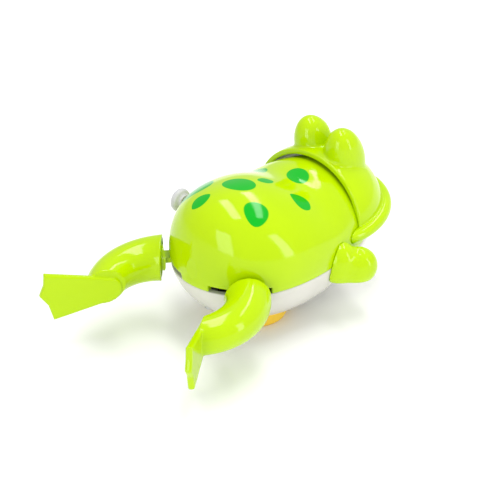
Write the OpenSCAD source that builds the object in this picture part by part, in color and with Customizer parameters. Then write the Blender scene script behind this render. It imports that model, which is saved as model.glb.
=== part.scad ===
// Wind-up swimming frog: a two-part plastic body with a head cap, two legs that swing level
// through slots at the seam, and a clockwork motor.
// Millimetres. +Z is up, the head points to -Y and the frog's left side is +X.
// The origin is on the ground, under the middle of the ballast cap.

/* [Body] */
// Length of the body from tail to chin
body_len = 85.5; // [82:0.5:88]
// Place of the middle of the body along Y
body_mid_y = -11.7; // [-13:0.1:-10]
// Height of the body's widest level at its middle
equator_z = 27.6; // [27:0.1:29]
// Height of the level seam between back and belly
seam_z = 23.5; // [23:0.1:24]
// Depth of the waist across the back, as a share of its height
waist_depth = 0.1; // [0:0.01:0.14]
// Wall thickness of the shells
wall = 1.7; // [1.4:0.1:2]

/* [Head] */
// Half width of the head cap at the lip
head_half_w = 24.5; // [24:0.5:27]
// Reach of the head cap ahead of its middle
head_reach = 24.2; // [23:0.2:26]
// Height of the head cap above its middle
head_rise = 22.2; // [21:0.2:24]
// Upward tilt of the lip towards the front
lip_tilt = 6; // [4:1:10]
// Radius of the bead along the lip
lip_r = 2.4; // [2:0.1:2.8]
// Distance of each eye bulge from the middle
eye_x = 6.8; // [6.6:0.1:7.4]
// Radius of each eye bulge
eye_r = 6.9; // [6.4:0.1:7.2]

/* [Legs] */
// Radius of the thigh at the hip
hip_r = 8.2; // [7.8:0.1:8.4]
// Radius of the thigh at the flipper
ankle_r = 6.6; // [6.2:0.1:7]
// Radius of the curve that the thigh follows
thigh_bend = 19.2; // [18:0.2:21]
// Heading of the thigh at the hip, outward from straight back
hip_heading = 49; // [46:1:50]
// Heading of the thigh at the flipper, outward from straight back
ankle_heading = -32; // [-36:1:-28]
// Heading of the flipper, outward from straight back
flipper_heading = 32; // [28:1:36]
// Length of the flipper from its heel to its longest toe
flipper_len = 29; // [28:0.5:31]

/* [Motor] */
// Distance between the two motor plates
motor_gap = 14; // [14:0.5:15]
// Throw of the crank pin
crank_throw = 2.15; // [2:0.05:2.15]
// Teeth on the great wheel and on the second wheel
wheel_teeth = 30; // [30]
// Teeth on the crank wheel
crank_teeth = 24; // [24]
// Teeth on the second pinion and on the crank pinion
pinion_teeth = 10; // [10]
// Teeth on the governor pinion
governor_teeth = 8; // [8]

/* [Hidden] */

lime = "greenyellow";
cream = "whitesmoke";
amber = "orange";
grey = "lightgrey";
steel = "silver";
brass = "goldenrod";

// Control values of the body outline, spaced evenly from tail to chin
width_ctl = [30, 36.5, 25, 25.6, 24.6, 27.9];
top_ctl = [29.5, 42.7, 18.1, 18.5, 26.4, 32.2];
bottom_ctl = [32, 28.5, 27.4, 22.8, 20];
width_pow = 0.94;
top_pow = 0.62;
bottom_pow = 0.94;
equator_drop = 2.2;
waist_y = -15;
waist_reach = 9;
stations = 36;
around = 34;
boss_sides = 16;

// Parting between back and belly: level to the cheek, then up to the nape under the head cap
cheek_y = -33;
nape = [-56, 90];

head_mid = [0, -32.5, 29.8];
rim_y = -29.5;
rim_lean = 3;
head_wall = 1.9;
lip_sweep = 18;
lip_out = 0.7;
lip_steps = 30;
head_rows = 26;
head_cols = 36;
eye_mid = [eye_x, -40.4, 48.4];
eye_deeper = 0.9;
eye_half_h = 13.4;
eye_splay = 4;
eye_lean = 20;
insert_r = 4.6;
insert_t = 1.6;
insert_dome = 9;
insert_sunk = 2.4;
insert_up = 1;
insert_dir = [68, 0, 14];

arm_mid = [27, -19.5, 21.5];
arm_turn = 40;
arm_foot = 5;
// Rounded masses of an arm, each as its offset and its half sizes
arm_lobes = [
    [[-1.5, 3, 1.6], [5.8, 6.8, 8.2]], [[2.7, -2.7, -0.3], [5.6, 6.8, 7]], [[1, -1, -1], [5, 8, 6.2]]
];

hip = [20.4, 25, 24.7];
ankle_drop = 2;
thigh_wall = 1.5;
thigh_end = 1.11;
thigh_bore = 0.45;
thigh_sides = 32;
thigh_steps = 23;
bore_steps = 8;
flipper_t = 2.4;
heel_r = 4.6;
toe_half_h = 9.2;
// Toes from the lower to the upper one: how far each falls short of the longest, and its height
toes = [[4.8, -1], [3, -0.35], [0, 0.08], [1.5, 0.5], [1.8, 1]];

// Drive plane: the levers fill the slots with a little air above and below
slot_h = 2.6;
slot_air = 0.3;
lever_z = seam_z + slot_air;
lever_t = slot_h - 2 * slot_air;
slot_from = 12;
slot_to = 56;
pivot = [3, 4];
pivot_r = 1.2;
pin_from = 14;
pin_len = lever_z + lever_t + slot_air - pin_from;
pin_head = [2.1, 0.8];
run_fit = 0.05;
hub_r = 2.6;
drive_bar_w = 5;
hip_bar_w = 5.4;
drive_past = 2.6;
plug_fit = 0.08;
drive_arm = 8;
rest_lag = 5;
swing_in = 20;
swing_out = 10;
neck_r = 4.6;
neck_clear = 26.8;
yoke_out = crank_throw * swing_out / (rest_lag + swing_out);
yoke_in = crank_throw * swing_in / (rest_lag + swing_out);
yoke_z = 18.4;
yoke_t = 2;
yoke_pin_r = 1.2;
yoke_front = -15.2;
yoke_deep = 11.6;
yoke_arm = 3.6;
yoke_slot_w = 3;
yoke_offset = drive_arm * tan(rest_lag);
guide_peg = [8, -8];
guide_peg_r = 1.2;
guide_post_r = 2.4;
post_gap = 0.3;
fork_x = 13;
fork = [1.6, 6.6, 15.6];
fork_slot = 2.6;

// Wheel train, as [y, z] of each axis
gear_m = 0.5;
press_angle = 25;
addendum = 0.75 * gear_m;
dedendum = 1.05 * gear_m;
backlash = 0.22;
arbor_at = [6, 36.5];
crank_at = [-12, 30.5];
arbor_r = 1.5;
axle_r = 0.8;
crank_r = 1.2;
pitch_ab = gear_m * (wheel_teeth + pinion_teeth) / 2;
pitch_cd = gear_m * (crank_teeth + governor_teeth) / 2;
span_ac = norm(arbor_at - crank_at);
angle_ac = atan2(crank_at[1] - arbor_at[1], crank_at[0] - arbor_at[0]);
angle_ab = angle_ac - acos(span_ac / 2 / pitch_ab);
second_at = arbor_at + pitch_ab * [cos(angle_ab), sin(angle_ab)];
angle_bc = atan2(crank_at[1] - second_at[1], crank_at[0] - second_at[0]);
angle_cd = 150;
governor_at = crank_at + pitch_cd * [cos(angle_cd), sin(angle_cd)];
plate_t = 1.5;
plate_x = motor_gap / 2;
plate_foot = 21.3;
plate_outline = [
    [-23.6, 30], [-22.6, plate_foot], [-7.5, plate_foot], [-6, 27], [14.5, 27], [16, 29],
    [16, 42.5], [13.5, 46], [-6, 45.8], [-15.5, 44], [-23.6, 39]
];
pillars = [[-20.5, 26.5], [-15.5, 42], [13.3, 43.5], [13.5, 29.3]];
pillar_r = 1.9;
screw_r = 0.8;
spring_coils = 8;
spring_steps = 24;
spring_band = 0.35;
spring_r = [1.9, 6.9];
spring_span = [-5.8, 7.2];

// Wheels along their axes: where each one starts on X, how thick it is, and its hub
great_x = 4.4;
great_t = 1.8;
great_hub = [3, 2.8];
second_x = 2.4;
second_t = 1.3;
second_pinion_t = 3.1;
second_hub = [1.7, 1];
crank_x = -1;
crank_t = 1.8;
crank_pinion_t = 3.6;
governor_x = -6;
governor_t = 1.8;
governor_pinion_t = 2.6;
governor_hub = [1.7, 4.6];
governor_disc_r = 5.2;
arbor_len = 38.5;
crank_shaft_x = -10.2;
crank_shaft_len = 19.3;
disc_x = -10.4;
disc_t = 1.5;
disc_rim = 1.6;
crank_pin = [1, 1.6];
crank_pin_out = 1.1;

// Winding knob: where it starts on X, its neck, the round of its rim and its slight crown
knob_x = 27.2;
knob_neck = [2.6, 0.8];
knob_rim = [2.9, 2.4];
knob_round = [1.4, 1.5];
knob_crown = [3.7, 4];
knob_bore = 2.6;

screw_posts = [[14, -26], [-14, -26], [0, 22]];
post_r = 3;
post_bore = 1.2;
screw_seat = 13;
screw_len = 19;
screw_head_r = 2;
screw_head_h = 1.4;

// Ballast cap in the belly and float in the chest
cap_r = 12;
cap_h = 6;
cap_wall = 1.6;
cap_edge = 1.5;
weight_gap = 0.4;
weight_h = 3.6;
foam_from = [-10.5, -46, 24];
foam_size = [21, 19.5, 20];
foam_share = 0.9;

function binom(n, k) = k == 0 ? 1 : binom(n, k - 1) * (n - k + 1) / k;
function bezier(c, q) =
    let (n = len(c) - 1)
    [for (i = [0:n]) binom(n, i) * pow(q, i) * pow(1 - q, n - i)] * c;

// Closed skin through rings of equal size, with a point that closes each end.
// Each ring is turned by half a step against the one before it, so that no two triangles lie in one plane.
module skin(first, rings, last) {
    n = len(rings[0]);
    m = len(rings);
    end = 1 + m * n;
    points = concat([first], [for (r = rings) each r], [last]);
    fan_a = [for (j = [0:n - 1]) [0, 1 + j, 1 + (j + 1) % n]];
    fan_b = [for (j = [0:n - 1]) [end, end - n + (j + 1) % n, end - n + j]];
    sides = [for (i = [0:m - 2], j = [0:n - 1])
        each let (a = 1 + i * n + j, b = 1 + i * n + (j + 1) % n) [[a, a + n, b + n], [a, b + n, b]]];
    polyhedron(points, concat(fan_a, sides, fan_b));
}

// Joins free-form pieces into one mesh, so that later cuts stay exact
module as_one() {
    resize([0, 0, 0]) children();
}

module on_x(at, x) {
    translate([x, at[0], at[1]]) rotate([90, 0, 90]) children();
}

module half_space_behind(y, lean) {
    translate([0, y, 40]) rotate([lean, 0, 0]) translate([-50, 0, -60]) cube([100, 80, 120]);
}

module egg(size, rows = 20, cols = 28) {
    skin([0, 0, size[2]], [for (i = [1:rows - 1]) let (a = 90 - 180 * i / rows)
        [for (j = [0:cols - 1]) let (b = -360 * (j - i / 2) / cols)
            [size[0] * cos(a) * cos(b), size[1] * cos(a) * sin(b), size[2] * sin(a)]]], [0, 0, -size[2]]);
}

// ---- body ----

function waist(y) = 1 - waist_depth * exp(-pow((y - waist_y) / waist_reach, 2));

function body_ring(q) =
    let (w = pow(sin(180 * q), width_pow) * bezier(width_ctl, q))
    let (y = body_len / 2 * cos(180 * q))
    let (t = pow(sin(180 * q), top_pow) * bezier(top_ctl, q) * waist(body_mid_y + y))
    let (b = pow(sin(180 * q), bottom_pow) * bezier(bottom_ctl, q))
    [for (j = [0:around - 1]) let (a = 360 * j / around)
        [w * cos(a), y, equator_drop * cos(180 * q) + (sin(a) > 0 ? t : b) * sin(a)]];

module body_solid(k) {
    tip = [0, body_len / 2, equator_drop];
    translate([0, body_mid_y, equator_z])
        scale(k)
            skin(tip, [for (i = [1:stations - 1]) body_ring(i / stations)], -tip);
}

module body_skin() {
    difference() {
        body_solid(1);
        body_solid(1 - wall / 28);
    }
}

module back_zone() {
    rotate([90, 0, 90])
        linear_extrude(100, center = true)
            polygon([[60, seam_z], [60, 90], nape, [cheek_y, seam_z]]);
}

module slot_wedge() {
    near = 10;
    reach = 45;
    mid = (slot_from + slot_to) / 2;
    corners = [[near, slot_from], [reach, slot_from], [reach * 1.1, mid], [reach, slot_to], [near, slot_to]];
    translate([0, 0, seam_z - 1])
        linear_extrude(slot_h + 1)
            polygon([for (p = corners) p[0] * [sin(p[1]), cos(p[1])]]);
}

module back_shell() {
    color(lime)
        difference() {
            as_one() {
                intersection() {
                    union() {
                        body_skin();
                        intersection() {
                            body_solid(1 - wall / 30);
                            for (p = screw_posts)
                                translate([p[0], p[1], seam_z]) cylinder(r = post_r, h = 40, $fn = 24);
                        }
                    }
                    back_zone();
                }
            }
            slot_wedge();
            mirror([1, 0, 0]) slot_wedge();
            on_x(arbor_at, 15) cylinder(r = arbor_r + 0.6, h = 20, $fn = 48);
            for (p = screw_posts)
                translate([p[0], p[1], seam_z - 1]) cylinder(r = post_bore, h = 11, $fn = 24);
        }
}

module belly_boss(at, r, top) {
    translate([at[0], at[1], 0]) cylinder(r = r, h = top, $fn = boss_sides);
}

// Posts for one lever and one guide of the yoke, and a rib under one motor plate
module belly_supports() {
    rib = [2.5, 4, plate_foot];
    belly_boss(pivot, hub_r - post_gap, lever_z - post_gap);
    belly_boss(guide_peg, guide_post_r, yoke_z - post_gap);
    belly_boss(guide_peg, guide_peg_r, plate_foot - 0.4);
    translate([plate_x + plate_t / 2 - rib[0] / 2, -21.2, 0]) cube(rib);
}

module belly_shell() {
    color(cream)
        difference() {
            as_one() {
                difference() {
                    union() {
                        body_skin();
                        intersection() {
                            body_solid(1 - wall / 30);
                            union() {
                                for (p = screw_posts) belly_boss(p, post_r, seam_z);
                                belly_boss([0, 0], cap_r + wall, cap_h + wall);
                                for (s = [0, 1]) mirror([s, 0, 0]) belly_supports();
                            }
                        }
                    }
                    back_zone();
                }
            }
            translate([0, 0, -1]) cylinder(r = cap_r + 0.1, h = cap_h + 1.1, $fn = 64);
            for (p = screw_posts) {
                translate([p[0], p[1], -1]) cylinder(r = 2.2, h = screw_seat + 1, $fn = 24);
                translate([p[0], p[1], 0]) cylinder(r = post_bore, h = 40, $fn = 24);
            }
            for (s = [-1, 1])
                translate([s * pivot[0], pivot[1], pin_from]) cylinder(r = pivot_r, h = 20, $fn = 32);
        }
}

// ---- head cap and eyes ----

module head_form(inset) {
    translate(head_mid)
        rotate([-lip_tilt, 0, 0])
            egg([head_half_w - inset, head_reach - inset, head_rise - inset], head_rows, head_cols);
}

module at_eye() {
    translate(eye_mid) rotate([-eye_lean, eye_splay, 0]) children();
}

module eye_form(inset) {
    at_eye() egg([eye_r - inset, eye_r + eye_deeper - inset, eye_half_h - inset], 18, 28);
}

module lip_bead() {
    steps = lip_steps;
    from = -lip_sweep;
    sweep = 180 + 2 * lip_sweep;
    function centre(a) = [(head_half_w + lip_out) * cos(a), -(head_reach + lip_out) * sin(a), 0];
    function ring(i) = [for (j = [0:9]) let (a = from + sweep * i / steps, b = 36 * (j - i / 2))
        centre(a) + lip_r * cos(b) * [cos(a), -sin(a), 0] + [0, 0, lip_r * sin(b)]];
    translate(head_mid)
        rotate([-lip_tilt, 0, 0])
            skin(centre(from), [for (i = [0:steps]) ring(i)], centre(from + sweep));
}

module at_insert() {
    at_eye()
        rotate([0, 0, -insert_dir[2]])
            translate([0, -eye_r + insert_sunk, insert_up])
                rotate([insert_dir[0], 0, 0])
                    children();
}

module head_cap() {
    color(lime)
        as_one()
            difference() {
                union() {
                    difference() {
                        union() {
                            head_form(0);
                            for (s = [0, 1]) mirror([s, 0, 0]) eye_form(0);
                        }
                        head_form(head_wall);
                        for (s = [0, 1]) mirror([s, 0, 0]) eye_form(head_wall * 0.8);
                        half_space_behind(rim_y, rim_lean);
                        translate(head_mid)
                            rotate([-lip_tilt, 0, 0])
                                translate([-50, -60, -60]) cube([100, 120, 60]);
                    }
                    lip_bead();
                }
                body_solid(1.002);
                for (s = [0, 1])
                    mirror([s, 0, 0]) at_insert() cylinder(r = insert_r + 0.1, h = 12, $fn = 40);
            }
}

module eye_insert() {
    dome_drop = sqrt(insert_dome * insert_dome - insert_r * insert_r);
    color("white")
        at_insert() {
            cylinder(r = insert_r, h = insert_t, $fn = 64);
            translate([0, 0, insert_t])
                intersection() {
                    translate([0, 0, -dome_drop]) sphere(r = insert_dome, $fn = 64);
                    cylinder(r = insert_r, h = insert_dome, $fn = 64);
                }
        }
}

module eye_left() {
    eye_insert();
}

module eye_right() {
    mirror([1, 0, 0]) eye_insert();
}

// ---- arms ----

module arm() {
    color(lime)
        as_one()
            intersection() {
                difference() {
                    for (l = arm_lobes)
                        translate(arm_mid + l[0]) rotate([0, 0, arm_turn]) egg(l[1], 16, 24);
                    body_solid(1.004);
                }
                translate([0, -60, arm_mid[2] - arm_foot]) cube([60, 80, 40]);
            }
}

module arm_left() {
    arm();
}

module arm_right() {
    mirror([1, 0, 0]) arm();
}

// ---- ballast, float and fasteners ----

module ballast_cap() {
    color(amber)
        rotate_extrude($fn = 96)
            polygon(concat(
                [[0, 0]],
                [for (a = [-90:15:0]) [cap_r - cap_edge + cap_edge * cos(a), cap_edge + cap_edge * sin(a)]],
                [[cap_r, cap_h], [cap_r - cap_wall, cap_h], [cap_r - cap_wall, cap_wall], [0, cap_wall]]
            ));
}

module ballast_weight() {
    color(steel)
        translate([0, 0, cap_wall])
            cylinder(r = cap_r - cap_wall - weight_gap, h = weight_h, $fn = 64);
}

module foam_float() {
    color("white")
        as_one()
            intersection() {
                body_solid(foam_share);
                translate(foam_from) cube(foam_size);
            }
}

module shell_screws() {
    color(steel)
        for (p = screw_posts)
            translate([p[0], p[1], screw_seat - screw_head_h]) {
                cylinder(r = screw_head_r, h = screw_head_h, $fn = 32);
                cylinder(r = post_bore - 0.1, h = screw_len, $fn = 32);
            }
}

// ---- clockwork motor ----

module plate_holes() {
    on_x(arbor_at, -20) cylinder(r = arbor_r + run_fit, h = 40, $fn = 64);
    on_x(second_at, -20) cylinder(r = axle_r, h = 40, $fn = 64);
    on_x(governor_at, -20) cylinder(r = axle_r, h = 40, $fn = 64);
    on_x(crank_at, -20) cylinder(r = crank_r + run_fit, h = 40, $fn = 64);
}

module motor_plate(x) {
    translate([x, 0, 0]) rotate([90, 0, 90]) linear_extrude(plate_t) polygon(plate_outline);
}

module motor_plate_left() {
    color(amber)
        difference() {
            motor_plate(plate_x);
            plate_holes();
            for (p = pillars) on_x(p, plate_x - 1) cylinder(r = screw_r, h = plate_t + 2, $fn = 32);
        }
}

module motor_plate_right() {
    color(amber)
        difference() {
            union() {
                motor_plate(-plate_x - plate_t);
                for (p = pillars) on_x(p, -plate_x) cylinder(r = pillar_r, h = motor_gap, $fn = 32);
            }
            plate_holes();
            for (p = pillars) on_x(p, plate_x - 6) cylinder(r = screw_r, h = 10, $fn = 32);
        }
}

module motor_screws() {
    color(steel)
        for (p = pillars) on_x(p, plate_x - 5) {
            cylinder(r = screw_r, h = plate_t + 5, $fn = 32);
            translate([0, 0, plate_t + 5]) cylinder(r = 1.5, h = 1, $fn = 32);
        }
}

module mainspring() {
    steps = spring_coils * spring_steps;
    function turn(i, grow) =
        let (a = 360 * i / spring_steps, r = spring_r[0] + (spring_r[1] - spring_r[0]) * i / steps + grow)
        r * [cos(a), sin(a)];
    color("dimgray")
        on_x(arbor_at, spring_span[0])
            linear_extrude(spring_span[1])
                polygon(concat(
                    [for (i = [0:steps]) turn(i, spring_band)],
                    [for (i = [steps:-1:0]) turn(i, 0)]
                ));
}

// Involute wheel with a tooth centred on the local +X axis
function roll(r, base) = let (t = sqrt(max(pow(r / base, 2) - 1, 0))) t * 180 / PI - atan(t);
module gear(teeth, thick, turn_to) {
    pitch = gear_m * teeth / 2;
    base = pitch * cos(press_angle);
    tip = pitch + addendum;
    root = pitch - dedendum;
    half = (90 - backlash / pitch * 180 / PI / 2) / teeth + roll(pitch, base);
    low = max(base, root);
    flank = [for (k = [0:3]) let (r = low + (tip - low) * k / 3) [r, half - roll(r, base)]];
    back = [for (k = [3:-1:0]) [flank[k][0], -flank[k][1]]];
    tooth = concat([[root, half]], flank, back, [[root, -half]]);
    rotate(turn_to)
        linear_extrude(thick)
            polygon([for (i = [0:teeth - 1], p = tooth) let (a = p[1] - 360 * i / teeth)
                p[0] * [cos(a), -sin(a)]]);
}

module great_wheel() {
    color(cream)
        on_x(arbor_at, great_x)
            difference() {
                union() {
                    gear(wheel_teeth, great_t, angle_ab);
                    translate([0, 0, -0.4]) cylinder(r = great_hub[0], h = great_hub[1], $fn = 48);
                }
                translate([0, 0, -3]) cylinder(r = arbor_r, h = 8, $fn = 64);
            }
}

module spring_arbor() {
    color(steel)
        on_x(arbor_at, -plate_x - plate_t - 0.6)
            cylinder(r = arbor_r, h = arbor_len, $fn = 64);
}

module winding_knob() {
    color(grey)
        on_x(arbor_at, knob_x)
            difference() {
                rotate_extrude($fn = 96)
                    polygon(concat(
                        [[0, 0], [knob_neck[0], 0], knob_neck],
                        [for (a = [-60:15:60]) knob_rim + [knob_round[0] * cos(a), knob_round[1] * sin(a)]],
                        [for (f = [0:1 / 3:1]) [knob_rim[0] * (1 - f), knob_crown * [1 - f, f]]]
                    ));
                translate([0, 0, -1]) cylinder(r = arbor_r, h = knob_bore + 1, $fn = 64);
            }
}

module second_wheel() {
    color(cream)
        on_x(second_at, second_x)
            difference() {
                union() {
                    gear(wheel_teeth, second_t, angle_bc);
                    translate([0, 0, second_t - 0.2])
                        gear(pinion_teeth, second_pinion_t, angle_ab + 180 + 180 / pinion_teeth);
                    translate([0, 0, -second_hub[1]])
                        cylinder(r = second_hub[0], h = second_hub[1], $fn = 32);
                }
                translate([0, 0, -3]) cylinder(r = axle_r + run_fit, h = 10, $fn = 64);
            }
}

module axle(at) {
    color(steel)
        on_x(at, -plate_x - plate_t)
            cylinder(r = axle_r, h = motor_gap + 2 * plate_t, $fn = 64);
}

module second_pin() {
    axle(second_at);
}

module governor_pin() {
    axle(governor_at);
}

module crank_wheel() {
    color(cream)
        on_x(crank_at, crank_x)
            difference() {
                union() {
                    gear(crank_teeth, crank_t, angle_cd);
                    translate([0, 0, crank_t - 0.2])
                        gear(pinion_teeth, crank_pinion_t, angle_bc + 180 + 180 / pinion_teeth);
                }
                translate([0, 0, -1]) cylinder(r = crank_r, h = 8, $fn = 64);
            }
}

module crank_shaft() {
    color(steel)
        on_x(crank_at, crank_shaft_x)
            cylinder(r = crank_r, h = crank_shaft_len, $fn = 64);
}

// The pin stops short of the yoke, which leaves this pivot of the loop open
module crank_disc() {
    lag = asin(yoke_offset / crank_throw);
    color(cream)
        on_x(crank_at, disc_x)
            difference() {
                union() {
                    cylinder(r = crank_throw + disc_rim, h = disc_t, $fn = 64);
                    rotate(lag) translate([0, crank_throw, -crank_pin_out])
                        cylinder(r = crank_pin[0], h = crank_pin[1], $fn = 32);
                }
                cylinder(r = crank_r, h = 4, $fn = 64);
            }
}

module governor_wheel() {
    color(brass)
        on_x(governor_at, governor_x)
            difference() {
                union() {
                    cylinder(r = governor_disc_r, h = governor_t, $fn = 64);
                    cylinder(r = governor_hub[0], h = governor_hub[1], $fn = 32);
                    translate([0, 0, governor_hub[1]])
                        gear(governor_teeth, governor_pinion_t, angle_cd + 180 + 180 / governor_teeth);
                }
                translate([0, 0, -1]) cylinder(r = axle_r + run_fit, h = 12, $fn = 64);
            }
}

// ---- leg drive ----

module pivot_pin() {
    color(steel)
        translate([pivot[0], pivot[1], pin_from]) {
            cylinder(r = pivot_r, h = pin_len, $fn = 64);
            translate([0, 0, pin_len]) cylinder(r = pin_head[0], h = pin_head[1], $fn = 48);
        }
}

module pivot_pin_left() {
    pivot_pin();
}

module pivot_pin_right() {
    mirror([1, 0, 0]) pivot_pin();
}

module yoke_slot(s) {
    long = yoke_in + yoke_out;
    translate([s * guide_peg[0] - yoke_slot_w / 2, guide_peg[1] - yoke_in - yoke_slot_w / 2, yoke_z - 1])
        cube([yoke_slot_w, long + yoke_slot_w, yoke_t + 2]);
}

module drive_yoke() {
    pin_y = pivot[1] - yoke_offset;
    fork_y = crank_at[0] - yoke_offset;
    pin_x = pivot[0] + drive_arm;
    half_w = fork_x + 1.4;
    color(cream) {
        difference() {
            translate([-half_w, yoke_front, yoke_z]) cube([2 * half_w, yoke_deep, yoke_t]);
            yoke_slot(1);
            yoke_slot(-1);
        }
        for (s = [-1, 1]) {
            translate([s * pin_x - yoke_arm / 2, -4, yoke_z])
                cube([yoke_arm, pin_y + 4 + yoke_arm / 2, yoke_t]);
            translate([s * pin_x, pin_y, yoke_z])
                cylinder(r = yoke_pin_r, h = lever_z + lever_t - yoke_z, $fn = 48);
        }
        translate([-fork_x - fork[0] / 2, fork_y - fork[1] / 2, yoke_z])
            difference() {
                cube(fork);
                translate([-1, fork[1] / 2 - fork_slot / 2, crank_at[1] - crank_throw - 1.4 - yoke_z])
                    cube([4, fork_slot, 20]);
            }
    }
}

module bar(from, to, w, h) {
    d = to - from;
    translate([from[0], from[1], 0])
        rotate([0, 0, atan2(d[1], d[0])])
            translate([0, -w / 2, 0]) cube([norm(d), w, h]);
}

function thigh_at(f) =
    let (a = hip_heading + f * (ankle_heading - hip_heading))
    hip + thigh_bend * [cos(a) - cos(hip_heading), sin(hip_heading) - sin(a), 0] - [0, 0, ankle_drop * f];

function thigh_ring(f, inset, turn) =
    let (a = hip_heading + f * (ankle_heading - hip_heading), r = hip_r + f * (ankle_r - hip_r) - inset)
    [for (j = [0:thigh_sides - 1]) let (b = -360 * (j - turn / 2) / thigh_sides)
        thigh_at(f) + [r * cos(b) * cos(a), -r * cos(b) * sin(a), r * sin(b)]];

// The thigh is a tube from the hip down to thigh_bore, and solid from there to the flipper
module thigh() {
    inner = [for (i = [0:bore_steps]) thigh_ring(thigh_bore * (1 - i / bore_steps), thigh_wall, i)];
    outer = [for (i = [0:thigh_steps]) thigh_ring(thigh_end * i / thigh_steps, 0, bore_steps + 1 + i)];
    skin(thigh_at(thigh_bore), concat(inner, outer), thigh_at(thigh_end));
}

module lever() {
    arm_dir = [cos(rest_lag), -sin(rest_lag)];
    hip_dir = [sin(hip_heading), cos(hip_heading)];
    root_at = [hip[0], hip[1]];
    color(lime)
        difference() {
            union() {
                translate([0, 0, lever_z]) {
                    translate([pivot[0], pivot[1], 0]) cylinder(r = hub_r, h = lever_t, $fn = 64);
                    bar(pivot, pivot + (drive_arm + drive_past) * arm_dir, drive_bar_w, lever_t);
                    bar(pivot, root_at + 2 * hip_dir, hip_bar_w, lever_t);
                }
                difference() {
                    translate(hip) rotate([0, 90, 90 - hip_heading]) {
                        translate([0, 0, -1.6]) cylinder(r = neck_r, h = 2.8, $fn = 64);
                        translate([0, 0, 1]) cylinder(r = hip_r - thigh_wall - plug_fit, h = 1.6, $fn = 64);
                    }
                    translate([pivot[0], pivot[1], hip[2] - 10]) cylinder(r = neck_clear, h = 20, $fn = 96);
                }
            }
            translate([pivot[0], pivot[1], lever_z - 1]) cylinder(r = pivot_r + run_fit, h = 4, $fn = 64);
            translate([pivot[0], pivot[1], lever_z - 1])
                rotate([0, 0, -rest_lag])
                    translate([drive_arm - 1.9, -yoke_pin_r - 0.2, 0]) cube([3.8, 2 * yoke_pin_r + 0.4, 4]);
        }
}

module lever_left() {
    lever();
}

module lever_right() {
    mirror([1, 0, 0]) lever();
}

module at_flipper() {
    translate(thigh_at(1) + [0, 0, -1.2]) rotate([90, 0, 90 - flipper_heading]) children();
}

module flipper() {
    toe = flipper_len - heel_r;
    outline = concat(
        [for (a = [90:15:270]) heel_r * [cos(a), sin(a)]],
        [for (p = toes) [toe - p[0], toe_half_h * p[1]]]
    );
    at_flipper() translate([-1.2, 0.4, -flipper_t]) linear_extrude(flipper_t) polygon(outline);
}

module leg() {
    color(lime)
        as_one()
            union() {
                difference() {
                    thigh();
                    at_flipper() translate([-50, -50, -60 - flipper_t / 2]) cube([100, 100, 60]);
                }
                flipper();
            }
}

module leg_left() {
    leg();
}

module leg_right() {
    mirror([1, 0, 0]) leg();
}

back_shell();
belly_shell();
head_cap();
eye_left();
eye_right();
arm_left();
arm_right();
ballast_cap();
ballast_weight();
foam_float();
shell_screws();
motor_plate_left();
motor_plate_right();
motor_screws();
mainspring();
pivot_pin_left();
pivot_pin_right();
winding_knob();
spring_arbor();
great_wheel();
second_wheel();
second_pin();
crank_wheel();
crank_shaft();
crank_disc();
governor_wheel();
governor_pin();
drive_yoke();
lever_left();
leg_left();
lever_right();
leg_right();
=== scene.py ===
"""Wind-up swimming frog: the looks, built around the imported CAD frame.

Lengths are in millimetres until MM scales them to metres. The free forms are signed fields,
negative inside, and the turned pieces are lathed from profiles.
"""
import math

import bpy
import numpy as np
from mathutils import Matrix, Vector


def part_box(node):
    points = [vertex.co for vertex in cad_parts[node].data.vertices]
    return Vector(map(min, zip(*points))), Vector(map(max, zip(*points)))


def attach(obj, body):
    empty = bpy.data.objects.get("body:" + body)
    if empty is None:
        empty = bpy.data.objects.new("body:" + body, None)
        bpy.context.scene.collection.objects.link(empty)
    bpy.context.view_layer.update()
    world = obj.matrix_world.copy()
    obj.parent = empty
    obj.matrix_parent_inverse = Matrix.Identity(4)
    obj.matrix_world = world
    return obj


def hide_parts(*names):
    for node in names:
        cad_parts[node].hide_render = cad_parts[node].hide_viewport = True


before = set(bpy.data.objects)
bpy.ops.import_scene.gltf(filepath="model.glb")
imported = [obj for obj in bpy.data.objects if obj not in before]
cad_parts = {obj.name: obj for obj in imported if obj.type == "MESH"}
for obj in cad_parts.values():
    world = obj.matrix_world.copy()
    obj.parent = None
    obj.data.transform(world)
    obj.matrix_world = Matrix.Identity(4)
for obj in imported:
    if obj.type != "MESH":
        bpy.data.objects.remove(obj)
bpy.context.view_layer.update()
MM = 0.001

# ---------------------------------------------------------------- driving dimensions, as in the CAD source
BODY_LEN, BODY_MID_Y, EQUATOR_Z, EQUATOR_DROP = 85.5, -11.7, 27.6, 2.2
SEAM_Z, WALL = 23.5, 1.7
WIDTH = [30, 36.5, 25, 25.6, 24.6, 27.9]
TOP = [29.5, 42.7, 18.1, 18.5, 26.4, 32.2]
BOTTOM = [32, 28.5, 27.4, 22.8, 20]
WIDTH_POW, TOP_POW, BOTTOM_POW = 0.94, 0.62, 0.94
WAIST_Y, WAIST_REACH, WAIST_DEPTH = -15.0, 9.0, 0.1
CHEEK_Y, NAPE = -33.0, (-56.0, 90.0)
SLOT_H, SLOT_FROM, SLOT_TO = 2.6, 12.0, 56.0
HEAD_MID, HEAD_SIZE = np.array([0, -32.5, 29.8]), np.array([24.5, 24.2, 22.2])
LIP_TILT, LIP_R, LIP_SWEEP, LIP_OUT, HEAD_WALL = 6.0, 2.4, 18.0, 0.7, 1.9
RIM_Y, RIM_LEAN = -29.5, 3.0
EYE_MID, EYE_R, EYE_DEPTH, EYE_HALF_H = np.array([6.8, -40.4, 48.4]), 6.9, 7.8, 13.4
EYE_SPLAY, EYE_LEAN, EYE_WALL = 4.0, 20.0, HEAD_WALL * 0.8
INSERT_R, INSERT_T, INSERT_DOME, INSERT_TILT, INSERT_TURN = 4.6, 1.6, 9.0, 68.0, 14.0
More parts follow.
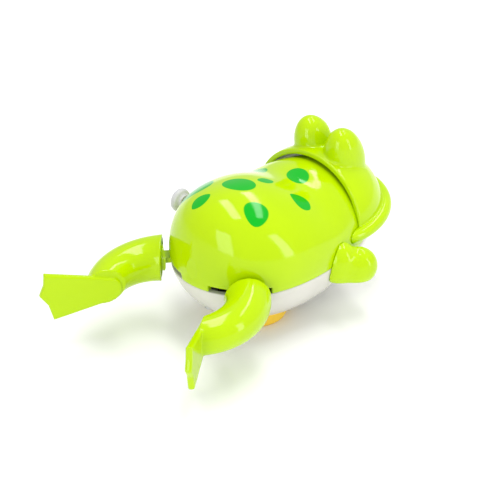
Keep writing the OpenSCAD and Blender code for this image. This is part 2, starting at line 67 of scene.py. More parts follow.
INSERT_SUNK, INSERT_UP = 2.4, 1.0
ARM_MID, ARM_TURN, ARM_FOOT = np.array([27, -19.5, 21.5]), 40.0, 5.0
ARM_LOBES = [
    ((-1.5, 3, 1.6), (5.8, 6.8, 8.2)),
    ((2.7, -2.7, -0.3), (5.6, 6.8, 7)),
    ((1, -1, -1), (5, 8, 6.2)),
]
HIP, HIP_R, ANKLE_R, ANKLE_DROP = np.array([20.4, 25, 24.7]), 8.2, 6.6, 2.0
THIGH_BEND, HIP_HEADING, ANKLE_HEADING, THIGH_WALL = 19.2, 49.0, -32.0, 1.5
THIGH_END, THIGH_BORE = 1.11, 0.45
FLIPPER_HEADING, FLIPPER_LEN, FLIPPER_T, HEEL_R, TOE_HALF_H = 32.0, 29.0, 2.4, 4.6, 9.2
FLIPPER_DROP, FLIPPER_SHIFT = 1.2, np.array([-1.2, 0.4])
TOES = [(4.8, -1), (3, -0.35), (0, 0.08), (1.5, 0.5), (1.8, 1)]
ARBOR, ARBOR_R, KNOB_X, KNOB_NECK, KNOB_HOLE_FROM = (6.0, 36.5), 1.5, 27.2, 2.6, 12.0
FOAM_FROM, FOAM_SIZE, FOAM_SHARE = (-10.5, -46.0, 24.0), (21.0, 19.5, 20.0), 0.9
CAP_R, CAP_H, CAP_WALL = 12.0, 6.0, 1.6
SCREW_POSTS = [(14, -26), (-14, -26), (0, 22)]
SCREW_SEAT, SCREW_HEAD_R, POST_R, POST_BORE, BORE_DEPTH = 13.0, 2.2, 3.0, 1.2, 10.0
PIVOT, PIVOT_R, PIVOT_POST_R, PIN_FROM = (3, 4), 1.2, 2.3, 14
GUIDE, GUIDE_POST_R, GUIDE_POST_TOP, GUIDE_PEG_R, GUIDE_PEG_TOP = (8, -8), 2.4, 18.1, 1.2, 20.9
RIB_MID, RIB_HALF = np.array([7.75, -19.2, 10.65]), np.array([1.25, 2, 10.65])
FAR, BELOW = 60, -9


# ---------------------------------------------------------------- signed fields and how they join
def cut(a, b, r=0.3):
    """What is inside both fields, with the edge between them rounded to r."""
    return np.minimum(-r, np.maximum(a, b)) + np.hypot(np.maximum(a + r, 0), np.maximum(b + r, 0))


def join(a, b, r=0.5):
    """What is inside either field, with a fillet of r between them."""
    return np.maximum(r, np.minimum(a, b)) - np.hypot(np.maximum(r - a, 0), np.maximum(r - b, 0))


def turn(axis, degrees):
    return np.array(Matrix.Rotation(math.radians(degrees), 3, axis))


def bezier(values, q):
    n = len(values) - 1
    return sum(math.comb(n, i) * q**i * (1 - q) ** (n - i) * v for i, v in enumerate(values))


def body(p, k=1.0):
    """The body's outer form, scaled by k about its middle."""
    x, y, z = p[:, 0] / k, (p[:, 1] - BODY_MID_Y) / k, (p[:, 2] - EQUATOR_Z) / k
    c = np.clip(y / (BODY_LEN / 2), -0.9999, 0.9999)
    q, s = np.arccos(c) / math.pi, np.sqrt(1 - c * c)
    waist = 1 - WAIST_DEPTH * np.exp(-(((y + BODY_MID_Y - WAIST_Y) / WAIST_REACH) ** 2))
    w = s**WIDTH_POW * bezier(WIDTH, q)
    z = z - EQUATOR_DROP * c
    h = np.where(z > 0, s**TOP_POW * bezier(TOP, q) * waist, s**BOTTOM_POW * bezier(BOTTOM, q))
    r = np.hypot(x, z)
    share = np.hypot(x / w, z / h)
    edge = np.where(share > 1e-6, r / np.maximum(share, 1e-6), np.minimum(w, h))
    slope = edge * c / (BODY_LEN / 2 * s * s)
    across = (r - edge) / np.sqrt(1 + slope * slope)
    return k * np.maximum(across, np.abs(y) - BODY_LEN / 2)


def body_wall(p):
    return cut(body(p), -body(p, 1 - WALL / 28), 0.2)


def back_side(p):
    """Below zero above the level seam and behind the cheek line."""
    dy, dz = NAPE[0] - CHEEK_Y, NAPE[1] - SEAM_Z
    length = math.hypot(dy, dz)
    ahead = -((p[:, 1] - CHEEK_Y) * dz - (p[:, 2] - SEAM_Z) * dy) / length
    return cut(SEAM_Z - p[:, 2], ahead, 0.1)


def slots(p):
    """The two slots that the levers swing in, just above the seam."""
    heading = np.degrees(np.arctan2(np.abs(p[:, 0]), p[:, 1]))
    radius = np.hypot(p[:, 0], p[:, 1])
    half = (SLOT_TO - SLOT_FROM) / 2
    along = (np.abs(heading - SLOT_FROM - half) - half) * radius * math.pi / 180
    level = np.maximum(p[:, 2] - SEAM_Z - SLOT_H, SEAM_Z - 1 - p[:, 2])
    return cut(np.maximum(along, 10 - radius), level, 0.25)


def rod(p, at, r, low, high):
    """An upright cylinder."""
    away = np.hypot(p[:, 0] - at[0], p[:, 1] - at[1]) - r
    return np.maximum(away, np.maximum(low - p[:, 2], p[:, 2] - high))


def back_shell(p):
    solid = cut(body_wall(p), back_side(p), 0.3)
    posts = np.minimum.reduce([rod(p, at, POST_R, SEAM_Z, FAR) for at in SCREW_POSTS])
    posts = np.maximum(posts, body(p, 1 - WALL / 30))
    bores = np.minimum.reduce([rod(p, at, POST_BORE, SEAM_Z - 1, SEAM_Z + BORE_DEPTH) for at in SCREW_POSTS])
    solid = np.maximum(join(solid, posts, 0.4), -bores)
    solid = cut(solid, -slots(p), 0.3)
    across = np.hypot(p[:, 1] - ARBOR[0], p[:, 2] - ARBOR[1])
    knob_hole = np.maximum(across - ARBOR_R - 0.6, KNOB_HOLE_FROM - p[:, 0])
    return cut(solid, -knob_hole, 0.3)


def belly_shell(p):
    solid = cut(body_wall(p), -back_side(p), 0.3)
    bosses = [rod(p, at, POST_R, 0, SEAM_Z) for at in SCREW_POSTS]
    bosses += [rod(p, (0, 0), CAP_R + WALL, 0, CAP_H + WALL)]
    for q in (p, mirrored(p)):
        bosses += [
            rod(q, PIVOT, PIVOT_POST_R, 0, SEAM_Z),
            rod(q, GUIDE, GUIDE_POST_R, 0, GUIDE_POST_TOP),
            rod(q, GUIDE, GUIDE_PEG_R, 0, GUIDE_PEG_TOP),
            (np.abs(q - RIB_MID) - RIB_HALF).max(1),
        ]
    inside = np.maximum(np.minimum.reduce(bosses), body(p, 1 - WALL / 30))
    solid = join(solid, inside, 0.4)
    solid = cut(solid, -rod(p, (0, 0), CAP_R + 0.15, BELOW, CAP_H), 0.3)
    for at in SCREW_POSTS:
        solid = cut(solid, -rod(p, at, SCREW_HEAD_R, BELOW, SCREW_SEAT), 0.25)
        solid = np.maximum(solid, -rod(p, at, POST_BORE, 0, FAR))
    for q in (p, mirrored(p)):
        solid = np.maximum(solid, -rod(q, PIVOT, PIVOT_R, PIN_FROM, FAR))
    return solid


def ellipsoid(p, size):
    a = np.sqrt(((p / size) ** 2).sum(1))
    b = np.sqrt(((p / (size * size)) ** 2).sum(1))
    return a * (a - 1) / np.maximum(b, 1e-9)


def mirrored(p):
    return p * np.array([-1, 1, 1])


def tilted_head(p):
    return (p - HEAD_MID) @ turn("X", -LIP_TILT)


def eye_bulges(p, inset):
    axes = turn("Y", EYE_SPLAY) @ turn("X", -EYE_LEAN)
    size = np.array([EYE_R, EYE_DEPTH, EYE_HALF_H]) - inset
    return np.minimum.reduce([ellipsoid((q - EYE_MID) @ axes, size) for q in (p, mirrored(p))])


def insert_frame():
    """Where the left eye's insert sits: its axes as columns, and its middle."""
    axes = turn("Y", EYE_SPLAY) @ turn("X", -EYE_LEAN) @ turn("Z", -INSERT_TURN)
    middle = EYE_MID + axes @ np.array([0, INSERT_SUNK - EYE_R, INSERT_UP])
    return axes @ turn("X", INSERT_TILT), middle


def head_cap(p):
    h = tilted_head(p)
    outside = join(ellipsoid(h, HEAD_SIZE), eye_bulges(p, 0), 0.9)
    inside = np.minimum(ellipsoid(h, HEAD_SIZE - HEAD_WALL), eye_bulges(p, EYE_WALL))
    cap = cut(outside, -inside, 0.3)
    lean = math.radians(RIM_LEAN)
    behind = (p[:, 1] - RIM_Y) * math.cos(lean) + (p[:, 2] - 40) * math.sin(lean)
    cap = cut(cap, behind, 0.45)
    cap = cut(cap, -h[:, 2], 0.3)
    a, b = HEAD_SIZE[0] + LIP_OUT, HEAD_SIZE[1] + LIP_OUT
    angle = np.arctan2(-h[:, 1] / b, h[:, 0] / a)
    angle = np.where(angle < -math.pi / 2, angle + 2 * math.pi, angle)
    angle = np.clip(angle, -math.radians(LIP_SWEEP), math.pi + math.radians(LIP_SWEEP))
    off_x, off_y = h[:, 0] - a * np.cos(angle), h[:, 1] + b * np.sin(angle)
    lip = np.sqrt(off_x**2 + off_y**2 + h[:, 2] ** 2) - LIP_R
    cap = join(cap, lip, 0.35)
    cap = cut(cap, 0.05 - body(p), 0.1)
    axes, middle = insert_frame()
    for q in (p, mirrored(p)):
        local = (q - middle) @ axes
        socket = np.maximum(np.hypot(local[:, 0], local[:, 1]) - INSERT_R - 0.1, -local[:, 2])
        cap = cut(cap, -socket, 0.2)
    return cap


def arm(p):
    across = turn("Z", ARM_TURN)
    solid = None
    for offset, size in ARM_LOBES:
        lobe = ellipsoid((p - ARM_MID - np.array(offset)) @ across, np.array(size, float))
        solid = lobe if solid is None else join(solid, lobe, 1.5)
    solid = cut(solid, ARM_MID[2] - ARM_FOOT - p[:, 2], 0.35)
    return cut(solid, 0.1 - body(p), 0.2)


def foam_block(p):
    block = body(p, FOAM_SHARE)
    for axis in range(3):
        block = cut(block, FOAM_FROM[axis] - p[:, axis], 0.5)
        block = cut(block, p[:, axis] - FOAM_FROM[axis] - FOAM_SIZE[axis], 0.5)
    return block


def thigh_point(f):
    a, h = math.radians(HIP_HEADING + f * (ANKLE_HEADING - HIP_HEADING)), math.radians(HIP_HEADING)
    bend = THIGH_BEND * np.array([math.cos(a) - math.cos(h), math.sin(h) - math.sin(a), 0])
    return HIP + bend - np.array([0, 0, ANKLE_DROP * f])


def flipper_frame():
    return turn("Z", 90 - FLIPPER_HEADING) @ turn("X", 90), thigh_point(1) - np.array([0, 0, FLIPPER_DROP])


def flipper_outline():
    toe = FLIPPER_LEN - HEEL_R
    heel = [(HEEL_R * math.cos(a), HEEL_R * math.sin(a)) for a in np.radians(np.arange(90, 271, 6))]
    return np.array(heel + [(toe - back, TOE_HALF_H * up) for back, up in TOES]) + FLIPPER_SHIFT


def polygon(p, corners):
    """Signed distance to a closed outline, for points in its plane."""
    best, inside = np.full(len(p), 1e9), np.zeros(len(p), bool)
    for a, b in zip(corners, np.roll(corners, -1, axis=0)):
        edge, to = b - a, p - a
        t = np.clip((to @ edge) / (edge @ edge), 0, 1)
        best = np.minimum(best, ((to - t[:, None] * edge) ** 2).sum(1))
        crosses = (p[:, 1] >= min(a[1], b[1])) & (p[:, 1] < max(a[1], b[1]))
        side = edge[0] * to[:, 1] - edge[1] * to[:, 0]
        inside ^= crosses & ((side > 0) == (b[1] > a[1]))
    return np.where(inside, -1, 1) * np.sqrt(best)


def leg(p):
    h = math.radians(HIP_HEADING)
    middle = HIP + THIGH_BEND * np.array([-math.cos(h), math.sin(h), 0])
    x, y = p[:, 0] - middle[0], p[:, 1] - middle[1]
    reach, heading = np.hypot(x, y), np.degrees(np.arctan2(-y, x))
    f = np.clip((heading - HIP_HEADING) / (ANKLE_HEADING - HIP_HEADING), -0.3, THIGH_END + 0.3)
    off = np.hypot(reach - THIGH_BEND, p[:, 2] - HIP[2] + ANKLE_DROP * f)
    radius = HIP_R + f * (ANKLE_R - HIP_R)
    rim = reach * np.sin(np.radians(np.clip(heading - HIP_HEADING, -90, 90)))
    length = THIGH_BEND * math.radians(HIP_HEADING - ANKLE_HEADING)
    thigh = cut(off - radius, rim, 0.35)
    bore = np.maximum(off - radius + THIGH_WALL, (f - THIGH_BORE) * length)
    thigh = cut(thigh, -bore, 0.35)
    thigh = np.maximum(thigh, (f - THIGH_END) * length)
    axes, origin = flipper_frame()
    local = (p - origin) @ axes
    thigh = np.maximum(thigh, -FLIPPER_T / 2 - local[:, 2])
    level = np.abs(local[:, 2] + FLIPPER_T / 2) - FLIPPER_T / 2
    plate = cut(polygon(local[:, :2], flipper_outline()), level, 0.8)
    return join(thigh, plate, 0.4)


# ---------------------------------------------------------------- meshing a field
def surface_net(field, low, high, cell):
    """Vertices and quads of the surface where field is zero, pulled onto it and evened out."""
    low, high = np.array(low, float), np.array(high, float)
    n = np.ceil((high - low) / cell).astype(int) + 1
    axes = [low[i] + cell * np.arange(n[i]) for i in range(3)]
    values = np.empty(n)
    for i, x in enumerate(axes[0]):
        y, z = np.meshgrid(axes[1], axes[2], indexing="ij")
        values[i] = field(np.column_stack([np.full(y.size, x), y.ravel(), z.ravel()])).reshape(n[1], n[2])
    inside = values < 0
    corners = [(a, b, c) for a in (0, 1) for b in (0, 1) for c in (0, 1)]
    m = n - 1
    count = sum(inside[a : m[0] + a, b : m[1] + b, c : m[2] + c].astype(np.int8) for a, b, c in corners)
    cells = np.argwhere((count > 0) & (count < 8))
    number = np.full(n - 1, -1)
    number[tuple(cells.T)] = np.arange(len(cells))
    total, hits = np.zeros((len(cells), 3)), np.zeros(len(cells))
    for a in corners:
        for axis in range(3):
            if a[axis]:
                continue
            b = list(a)
            b[axis] = 1
            va, vb = values[tuple((cells + a).T)], values[tuple((cells + b).T)]
            crossing = (va < 0) != (vb < 0)
            t = np.where(crossing, va / np.where(crossing, va - vb, 1), 0)
            point = np.array(a) + t[:, None] * (np.array(b) - np.array(a))
            total += crossing[:, None] * point
            hits += crossing
    points = low + cell * (cells + total / hits[:, None])
    quads = []
    for axis in range(3):
        u, v = (axis + 1) % 3, (axis + 2) % 3
        first = [slice(1, n[i] - 1) for i in range(3)]
        second = list(first)
        first[axis], second[axis] = slice(0, n[axis] - 1), slice(1, n[axis])
        at = np.argwhere(inside[tuple(first)] != inside[tuple(second)])
        at[:, u] += 1
        at[:, v] += 1
        outward = inside[tuple(at.T)]
        ring = []
        for du, dv in ((-1, -1), (0, -1), (0, 0), (-1, 0)):
            step = at.copy()
            step[:, u] += du
            step[:, v] += dv
            ring.append(number[tuple(step.T)])
        ring = np.column_stack(ring)
        quads.append(np.where(outward[:, None], ring, ring[:, ::-1]))
    quads = np.vstack(quads)
    for even in (0.5, 0.5, 0.35, 0):
        if even:
            points = points + even * (neighbours_mean(points, quads) - points)
        points = pulled(points, field, cell)
    return points, quads


def neighbours_mean(points, quads):
    total, count = np.zeros_like(points), np.zeros(len(points))
    for i in range(4):
        a, b = quads[:, i], quads[:, (i + 1) % 4]
        for source, target in ((a, b), (b, a)):
            for axis in range(3):
                total[:, axis] += np.bincount(target, points[source, axis], len(points))
            count += np.bincount(target, minlength=len(points))
    return total / np.maximum(count, 1)[:, None]


def pulled(points, field, cell, rounds=2):
    step = 0.02
    for _ in range(rounds):
        value = field(points)
        rise = [field(points + step * e) - field(points - step * e) for e in np.eye(3)]
        slope = np.column_stack(rise) / (2 * step)
        move = -value[:, None] * slope / np.maximum((slope**2).sum(1), 0.1)[:, None]
        size = np.linalg.norm(move, axis=1, keepdims=True)
        points = points + move * np.minimum(1, 0.5 * cell / np.maximum(size, 1e-9))
    return points


def new_object(name, points, faces, material, smooth=True):
    mesh = bpy.data.meshes.new(name)
    mesh.from_pydata((points * MM).tolist(), [], [list(map(int, f)) for f in faces])
    mesh.validate()
    mesh.polygons.foreach_set("use_smooth", [smooth] * len(mesh.polygons))
    mesh.materials.append(material)
    piece = bpy.data.objects.new(name, mesh)
    bpy.context.scene.collection.objects.link(piece)
    return piece


# ---------------------------------------------------------------- materials
def srgb(r, g, b):
    """A colour in linear light from its 0 to 255 display values."""
    return tuple(((v / 255 + 0.055) / 1.055) ** 2.4 for v in (r, g, b)) + (1.0,)


def darker(colour, share):
    return tuple(share * v for v in colour[:3]) + (1.0,)


class Nodes:
    """A short way to write a node tree."""

    def __init__(self, name):
        self.material = bpy.data.materials.new(name)
        self.material.use_nodes = True
        self.tree = self.material.node_tree
        self.shader = self.tree.nodes["Principled BSDF"]
        self.place = self.add("ShaderNodeTexCoord").outputs["Object"]

    def add(self, kind, **settings):
        node = self.tree.nodes.new(kind)
        for key, value in settings.items():
            setattr(node, key, value)
        return node

    def set(self, socket, value):
        if isinstance(value, bpy.types.NodeSocket):
            self.tree.links.new(value, socket)
        else:
            socket.default_value = value

    def math(self, operation, *values, clamp=False):
        node = self.add("ShaderNodeMath", operation=operation, use_clamp=clamp)
        for socket, value in zip(node.inputs, values):
            self.set(socket, value)
        return node.outputs[0]

    def vector(self, operation, *values):
        node = self.add("ShaderNodeVectorMath", operation=operation)
        for socket, value in zip(node.inputs, values):
            self.set(socket, value)
        return node.outputs["Value" if operation in ("DOT_PRODUCT", "LENGTH") else "Vector"]

    def noise(self, scale, detail=2.0, rough=0.5, place=None):
        node = self.add("ShaderNodeTexNoise")
        self.set(node.inputs["Vector"], place or self.place)
        node.inputs["Scale"].default_value = scale
        node.inputs["Detail"].default_value = detail
        node.inputs["Roughness"].default_value = rough
        return node.outputs["Fac"]

    def range(self, value, low, high, to_low, to_high):
        node = self.add("ShaderNodeMapRange")
        for socket, v in zip(node.inputs, (value, low, high, to_low, to_high)):
            self.set(socket, v)
        return node.outputs["Result"]

    def mix(self, share, a, b):
        node = self.add("ShaderNodeMix", data_type="RGBA")
        self.set(node.inputs["Factor"], share)
        self.set(node.inputs["A"], a)
        self.set(node.inputs["B"], b)
        return node.outputs["Result"]

    def bump(self, height, strength, distance):
        node = self.add("ShaderNodeBump")
        node.inputs["Strength"].default_value = strength
        node.inputs["Distance"].default_value = distance
        self.set(node.inputs["Height"], height)
        self.set(self.shader.inputs["Normal"], node.outputs["Normal"])


def moulded(name, colour, shade, rough=0.075, spots=None):
    """Glossy moulded plastic: faint flow marks in the colour, fine orange peel and a few handling scuffs."""
    n = Nodes(name)
    flow = n.noise(90, 3.0, 0.6)
    base = n.mix(n.range(flow, 0.35, 0.65, 0.0, 1.0), colour, shade)
    if spots:
        base = n.mix(printed_spots(n, spots), base, GREEN)
    n.set(n.shader.inputs["Base Color"], base)
    scuff = n.noise(420, 4.0, 0.7)
    n.set(n.shader.inputs["Roughness"], n.range(scuff, 0.3, 0.75, rough - 0.02, rough + 0.05))
    n.bump(n.noise(900, 2.0, 0.5), 0.04, 0.00003)
    n.shader.inputs["IOR"].default_value = 1.36
    return n.material


def printed_spots(n, spots):
    """A mask of printed spots. The taper widens one end, and a high point value sharpens both."""
    mask = 0.0
    for middle, along, across, long, short, taper, point in spots:
        off = n.vector("SUBTRACT", n.place, tuple(v * MM for v in middle))
        u = n.math("DIVIDE", n.vector("DOT_PRODUCT", off, tuple(along)), long * MM)
        v = n.math("ABSOLUTE", n.math("DIVIDE", n.vector("DOT_PRODUCT", off, tuple(across)), short * MM))
        left = n.math("MAXIMUM", n.math("SUBTRACT", 1.0, n.math("MULTIPLY", u, u)), 0.0001)
        wider = n.math("ADD", 1.0, n.math("MULTIPLY", u, taper))
        width = n.math("MULTIPLY", n.math("POWER", left, point), wider)
        beyond = n.math("SUBTRACT", v, width)
        near = n.math("LESS_THAN", n.vector("LENGTH", off), max(long, short) * 1.3 * MM)
        near = n.math("MULTIPLY", near, n.math("LESS_THAN", n.math("ABSOLUTE", u), 1.0))
        mask = n.math("MAXIMUM", mask, n.math("MULTIPLY", n.range(beyond, -0.04, 0.04, 1.0, 0.0), near))
    return mask


def satin(name, colour, rough=0.45, grain=260.0):
    """Unpolished engineering plastic with a fine tool grain."""
    n = Nodes(name)
    n.set(n.shader.inputs["Base Color"], n.mix(n.noise(160, 3.0), colour, darker(colour, 0.9)))
    n.set(n.shader.inputs["Roughness"], n.range(n.noise(grain, 4.0), 0.3, 0.7, rough - 0.07, rough + 0.07))
    n.bump(n.noise(1500, 3.0), 0.12, 0.00005)
    return n.material


def metal(name, colour, rough=0.28, drawn=(1.0, 1.0, 14.0)):
    """Drawn or turned metal: streaks along one direction."""
    n = Nodes(name)
    stretch = n.add("ShaderNodeMapping")
    n.set(stretch.inputs["Vector"], n.place)
    stretch.inputs["Scale"].default_value = drawn
    streaks = n.noise(700, 3.0, 0.6, stretch.outputs["Vector"])
    n.set(n.shader.inputs["Base Color"], n.mix(streaks, colour, darker(colour, 0.75)))
    n.set(n.shader.inputs["Roughness"], n.range(streaks, 0.3, 0.7, rough - 0.08, rough + 0.1))
    n.shader.inputs["Metallic"].default_value = 1.0
    n.bump(streaks, 0.1, 0.00003)
    return n.material


def foam_cells(name):
    n = Nodes(name)
    cells = n.add("ShaderNodeTexVoronoi")
    n.set(cells.inputs["Vector"], n.place)
    cells.inputs["Scale"].default_value = 1600.0
    tone = n.mix(cells.outputs["Distance"], srgb(244, 243, 238), srgb(214, 212, 204))
    n.set(n.shader.inputs["Base Color"], tone)
    n.set(n.shader.inputs["Roughness"], n.range(n.noise(300, 2.0), 0.3, 0.7, 0.8, 0.95))
    n.bump(cells.outputs["Distance"], 0.4, 0.0002)
    return n.material


def printed_eye(name, middle, axis):
    """White plastic with a round black pupil printed on the front of the dome."""
    n = Nodes(name)
    off = n.vector("SUBTRACT", n.place, tuple(v * MM for v in middle))
    away = n.vector("LENGTH", n.vector("CROSS_PRODUCT", off, tuple(axis)))
    pupil = n.range(away, 2.25 * MM, 2.4 * MM, 1.0, 0.0)
    white = n.mix(n.noise(120, 2.0), srgb(246, 246, 242), srgb(236, 236, 230))
    n.set(n.shader.inputs["Base Color"], n.mix(pupil, white, srgb(14, 14, 16)))
    n.set(n.shader.inputs["Roughness"], n.range(n.noise(500, 3.0), 0.3, 0.7, 0.1, 0.18))
    n.bump(pupil, 0.3, 0.00005)
    n.shader.inputs["Coat Weight"].default_value = 0.5
    return n.material


def on_back(x, y):
    """The point of the back above x, y, and the way up there."""
    here = np.array([x, y, 40.0])
    for _ in range(60):
        here[2] -= 0.7 * body(here[None])[0]
    step = 0.05
    up = np.array([body((here + step * e)[None])[0] - body((here - step * e)[None])[0] for e in np.eye(3)])
    return here, up / np.linalg.norm(up)


def spot(x, y, heading, long, short, taper=0.0, point=0.5):
    """A printed spot at x, y on the back, its long axis heading degrees from the tail to the left."""
    here, up = on_back(x, y)
    along = np.array([math.sin(math.radians(heading)), math.cos(math.radians(heading)), 0])
    along -= up * (along @ up)
    along /= np.linalg.norm(along)
    return here.tolist(), along.tolist(), np.cross(up, along).tolist(), long, short, taper, point


SPOTS = [
    spot(0.5, 6.8, 43, 5.9, 4.9),
    spot(4.5, 21.9, 20, 4.1, 2.7, 0.1, 0.7),
    spot(-2.4, -3.6, 22, 3.2, 2.2, 0, 0.7),
    spot(-3.5, -19.2, 136, 4.8, 4.0),
    spot(-13.5, 13.2, 130, 4.9, 4.4, 0.22),
    spot(14.6, 14.0, -130, 7.0, 6.0, 0.22),
    spot(-15.0, -7.8, -117, 4.4, 3.3, 0.25, 0.65),
    spot(10.2, -14.0, 117, 4.4, 3.2, 0.3, 0.65),
]

LIME, LIME_SHADE, GREEN = (0.45, 0.665, 0.0, 1.0), (0.435, 0.65, 0.0, 1.0), (0.0, 0.41, 0.012, 1.0)
lime = moulded("lime plastic", LIME, LIME_SHADE)
spotted = moulded("spotted lime plastic", LIME, LIME_SHADE, spots=SPOTS)
white = moulded("white plastic", (0.66, 0.645, 0.6, 1.0), (0.63, 0.615, 0.57, 1.0), rough=0.2)
yellow = moulded("yellow plastic", (0.95, 0.62, 0.05, 1.0), (0.92, 0.59, 0.045, 1.0), rough=0.2)
knob_white = moulded("knob plastic", (0.58, 0.58, 0.6, 1.0), (0.55, 0.55, 0.57, 1.0), rough=0.25)
natural = satin("natural acetal", srgb(236, 232, 218))
motor_amber = satin("motor plastic", srgb(228, 158, 60), 0.4)
steel = metal("drawn steel", srgb(196, 197, 200))
spring_steel = metal("blued spring steel", srgb(88, 94, 112), 0.3)
brass = metal("turned brass", srgb(214, 178, 96), 0.25)
foam = foam_cells("closed-cell foam")


# ---------------------------------------------------------------- pieces that replace CAD nodes
def field_piece(name, field, node, bodyname, material, cell, margin=1.5):
    low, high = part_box(node)
    points, quads = surface_net(field, np.array(low) / MM - margin, np.array(high) / MM + margin, cell)
    piece = new_object(name, points, quads, material)
    finish_piece(piece, node, bodyname)
    return piece


def mirror_piece(name, source, node, bodyname):
    mesh = source.data.copy()
    mesh.transform(Matrix.Scale(-1, 4, (1, 0, 0)))
    mesh.flip_normals()
    piece = bpy.data.objects.new(name, mesh)
    bpy.context.scene.collection.objects.link(piece)
    finish_piece(piece, node, bodyname)
    return piece


def finish_piece(piece, node, bodyname):
    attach(piece, bodyname)
    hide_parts(node)


FINE = 0.4
field_piece("back_moulding", back_shell, "back_shell", "body", spotted, FINE)
field_piece("belly_moulding", belly_shell, "belly_shell", "body", white, FINE)
field_piece("head_moulding", head_cap, "head_cap", "body", lime, FINE)
left_arm = field_piece("arm_moulding_left", arm, "arm_left", "body", lime, FINE * 0.9)
mirror_piece("arm_moulding_right", left_arm, "arm_right", "body")
left_leg = field_piece("leg_moulding_left", leg, "leg_left", "left_leg", lime, FINE)
mirror_piece("leg_moulding_right", left_leg, "leg_right", "right_leg")


def lathe(name, profile, place, material, steps=96):
    """A closed turned solid. Its profile holds (radius, height) pairs from one end to the other."""
    profile = np.array(profile, float)
    angles = np.arange(steps) * 2 * math.pi / steps
    round_about = np.column_stack([np.cos(angles), np.sin(angles)])
    points = np.vstack([np.column_stack([r * round_about, np.full(steps, z)]) for r, z in profile])
    faces = []
    for i in range(len(profile) - 1):
        for j in range(steps):
            a, b = i * steps + j, i * steps + (j + 1) % steps
            faces.append((a, b, b + steps, a + steps))
    faces.append(list(range(steps))[::-1])
    faces.append(list(range(len(points) - steps, len(points))))
    points = points @ np.array(place.to_3x3()).T + np.array(place.translation)
    return new_object(name, points, faces, material)


def arc(middle, radius, start, end, steps=8):
    """Points of a quarter or half round in the (radius, height) plane."""
    angles = np.radians(np.linspace(start, end, steps + 1))
    return [(middle[0] + radius[0] * math.cos(a), middle[1] + radius[1] * math.sin(a)) for a in angles]


def along_x(at, x):
    """Turns a lathe axis onto X, with its foot at x and its middle at (y, z)."""
    return Matrix.Translation((x, at[0], at[1])) @ Matrix.Rotation(math.radians(90), 4, "Y")


def dress(node, material):
    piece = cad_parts[node]
    piece.data.materials.clear()
    piece.data.materials.append(material)


for node, material, slot in [
    ("ballast_weight", steel, "steel"),
    ("shell_screws", steel, "steel"),
    ("motor_plate_left", motor_amber, "motor_plastic"),
    ("motor_plate_right", motor_amber, "motor_plastic"),
    ("motor_screws", steel, "steel"),
    ("mainspring", spring_steel, "spring_steel"),
    ("pivot_pin_left", steel, "steel"),
    ("pivot_pin_right", steel, "steel"),
    ("spring_arbor", steel, "steel"),
    ("great_wheel", natural, "natural_plastic"),
    ("second_wheel", natural, "natural_plastic"),
    ("second_pin", steel, "steel"),
    ("crank_wheel", natural, "natural_plastic"),
    ("crank_shaft", steel, "steel"),
    ("crank_disc", natural, "natural_plastic"),
    ("governor_wheel", brass, "brass"),
    ("governor_pin", steel, "steel"),
    ("drive_yoke", natural, "natural_plastic"),
    ("lever_left", lime, "lime_plastic"),
    ("lever_right", lime, "lime_plastic"),
]:
    dress(node, material)

knob_profile = [(0.2, 2.5), (ARBOR_R, 2.4), (ARBOR_R, 0)]
knob_profile += arc((KNOB_NECK - 0.2, 0.2), (0.2, 0.2), -90, 0, 4) + [(KNOB_NECK, 0.8)]
knob_profile += arc((2.9, 2.4), (1.4, 1.5), -60, 62, 16) + [(2.7, 3.76), (1.5, 3.88), (0.2, 3.98)]
knob = lathe("knob_moulding", knob_profile, along_x(ARBOR, KNOB_X), knob_white)
finish_piece(knob, "winding_knob", "winder")

CAP_BORE = CAP_R - CAP_WALL
cap_profile = [(0.1, 0), (2.2, 0), (2.5, 0.25), (3.1, 0.25), (3.4, 0)]
cap_profile += arc((CAP_R - 1.5, 1.5), (1.5, 1.5), -90, 0, 12)
cap_profile += [(CAP_R, CAP_H - 0.2), (CAP_R - 0.2, CAP_H), (CAP_BORE + 0.2, CAP_H), (CAP_BORE, CAP_H - 0.2)]
cap_profile += [(CAP_BORE, CAP_WALL + 0.3), (CAP_BORE - 0.3, CAP_WALL), (0.1, CAP_WALL)]
cap = lathe("ballast_moulding", cap_profile, Matrix.Identity(4), yellow)
finish_piece(cap, "ballast_cap", "body")

foam_pad = field_piece("foam_block", foam_block, "foam_float", "body", foam, FINE * 1.2)

axes, middle = insert_frame()
dome_drop = math.sqrt(INSERT_DOME**2 - INSERT_R**2)
for node, side in (("eye_left", 1), ("eye_right", -1)):
    flip = np.array([side, 1, 1])
    edge = math.degrees(math.asin(INSERT_R / INSERT_DOME))
    profile = [(0.1, 0), (INSERT_R - 0.15, 0), (INSERT_R, 0.15), (INSERT_R, INSERT_T - 0.1)]
    profile += arc((0, INSERT_T - dome_drop), (INSERT_DOME, INSERT_DOME), 90 - edge * 0.985, 89, 16)
    place = Matrix.Translation(middle.tolist()) @ Matrix(axes.tolist()).to_4x4()
    eye_plastic = printed_eye("printed " + node, middle * flip, axes[:, 2] * flip)
    insert = lathe(node + "_insert", profile, place, eye_plastic)
    if side < 0:
        insert.data.transform(Matrix.Scale(-1, 4, (1, 0, 0)))
        insert.data.flip_normals()
    finish_piece(insert, node, "body")

# ---------------------------------------------------------------- camera, floor and light
VIEW_AZ, VIEW_EL, DISTANCE, AXIS_Z, LOOK, LENS = 222.56, 31.44, 952.3, 1.3, (12.0, -6.1, 21.9), 200.7


def towards(azimuth, elevation):
    a, e = math.radians(azimuth), math.radians(elevation)
    return Vector((math.sin(a) * math.cos(e), -math.cos(a) * math.cos(e), math.sin(e)))


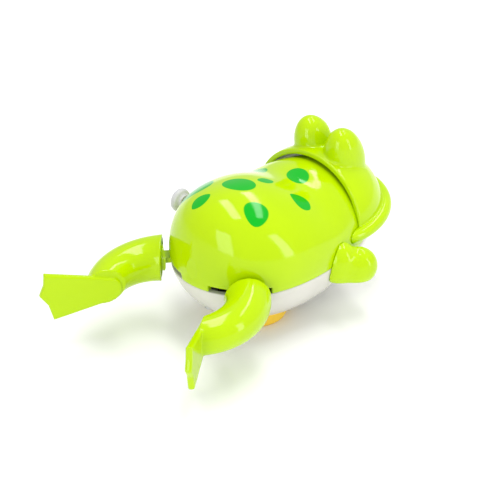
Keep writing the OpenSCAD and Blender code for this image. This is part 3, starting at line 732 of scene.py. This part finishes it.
camera = bpy.data.objects.new("camera", bpy.data.cameras.new("camera"))
camera.data.lens = LENS
eye = Vector((0, 0, AXIS_Z)) + towards(VIEW_AZ, VIEW_EL) * DISTANCE
camera.location = eye * MM
camera.rotation_euler = (eye - Vector(LOOK)).to_track_quat("Z", "Y").to_euler()
bpy.context.scene.collection.objects.link(camera)
bpy.context.scene.camera = camera

floor_material = Nodes("pale floor")
tone = floor_material.mix(floor_material.noise(6, 2.0), (0.97, 0.97, 0.97, 1), (0.95, 0.95, 0.95, 1))
floor_material.set(floor_material.shader.inputs["Base Color"], tone)
floor_material.shader.inputs["Roughness"].default_value = 0.8
span = 1500.0
floor = new_object(
    "floor",
    np.array([[-span, -span, -0.05], [span, -span, -0.05], [span, span, -0.05], [-span, span, -0.05]]),
    [[0, 1, 2, 3]],
    floor_material.material,
)


def panel(name, middle, across, width, height, radiance, flat=False):
    """A rectangular soft box at middle, in metres from the toy, facing it or facing straight down."""
    light = bpy.data.lights.new(name, "AREA")
    light.shape = "RECTANGLE"
    light.size, light.size_y = width, height
    light.energy = radiance * 4 * width * height
    z = Vector((0, 0, 1)) if flat else Vector(middle).normalized()
    x = (Vector(across) - z * Vector(across).dot(z)).normalized()
    lamp = bpy.data.objects.new(name, light)
    lamp.matrix_world = Matrix((x, z.cross(x), z)).transposed().to_4x4()
    lamp.location = Vector(middle) + Vector((0, 0, 0.035))
    bpy.context.scene.collection.objects.link(lamp)


# Two strips overhead, parallel and pointing the same way, and an upright window on each side
CEILING, STRIP = 0.9, (-0.89, 0.455, 0)
for name, x, y, length, width in [
    ("ceiling front", 0.04, -0.15, 0.98, 0.23),
    ("ceiling back", 0.03, -0.78, 1.3, 0.14),
]:
    panel(name, Vector((x, y, 1)) * CEILING, STRIP, length * CEILING, width * CEILING, 6.5, True)
panel("window right", towards(288, 14), (0, 0, 1), 0.62, 0.17, 4.5)
panel("window left", towards(203, 15), (0, 0, 1), 0.6, 0.44, 3.2)

world = bpy.data.worlds.new("studio")
world.use_nodes = True
world.node_tree.nodes["Background"].inputs["Color"].default_value = (1.0, 1.0, 1.0, 1)
world.node_tree.nodes["Background"].inputs["Strength"].default_value = 0.66
bpy.context.scene.world = world
bpy.context.scene.view_settings.view_transform = "Standard"
